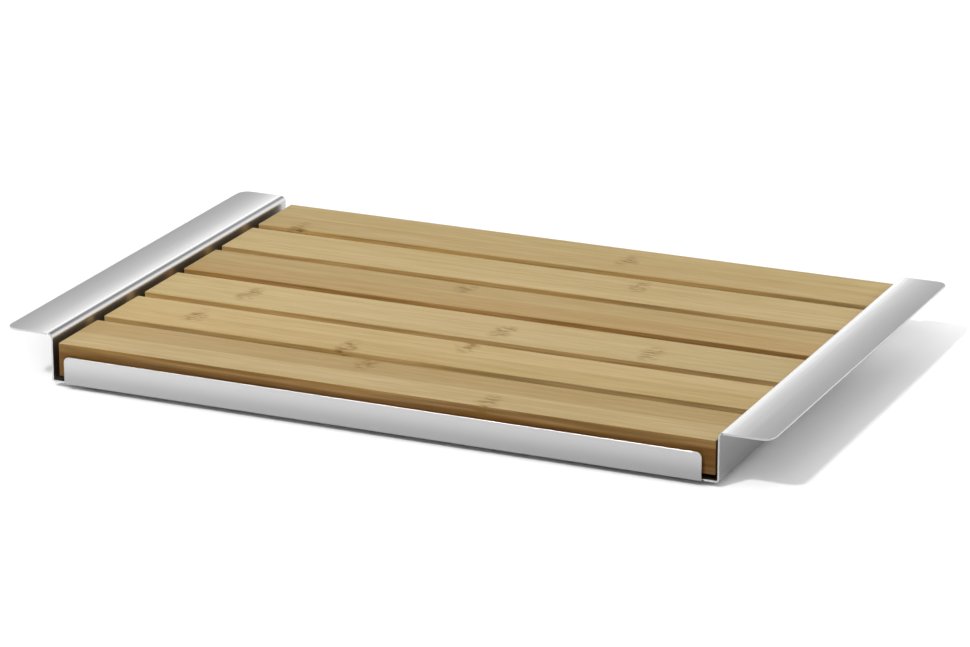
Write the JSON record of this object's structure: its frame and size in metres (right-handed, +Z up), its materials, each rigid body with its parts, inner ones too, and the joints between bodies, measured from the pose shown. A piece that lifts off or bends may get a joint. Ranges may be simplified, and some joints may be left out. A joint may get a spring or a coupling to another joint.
{
  "type": "bread board",
  "caption": "Slatted bamboo bread board lying loose in a folded steel crumb tray, whose side walls rise above the board and fold outwards as handles.",
  "frame": {"origin": "on the table under the middle of the tray", "axes": "+X towards the right handle, -Y towards the front lip, +Z up"},
  "size_m": [0.43, 0.278, 0.029],
  "materials": {
    "satin_stainless_steel": "satin",
    "bamboo": "oiled, matt",
    "foot_rubber": "matt",
    "screw_steel": "turned"
  },
  "bodies": {
    "tray": {"tray": "satin_stainless_steel", "foot_front_left": "foot_rubber", "foot_front_right": "foot_rubber", "foot_rear_left": "foot_rubber", "foot_rear_right": "foot_rubber"},
    "board": {"slat_1": "bamboo", "slat_2": "bamboo", "slat_3": "bamboo", "slat_4": "bamboo", "slat_5": "bamboo", "slat_6": "bamboo", "left_crossbar": "bamboo", "right_crossbar": "bamboo", "left_crossbar_screws": "screw_steel", "right_crossbar_screws": "screw_steel"}
  },
  "joints": [
    {"name": "board_lift", "type": "slide", "parent": "tray", "child": "board", "axis": [0, 0, 1], "range_m": [0, 0.06]}
  ]
}
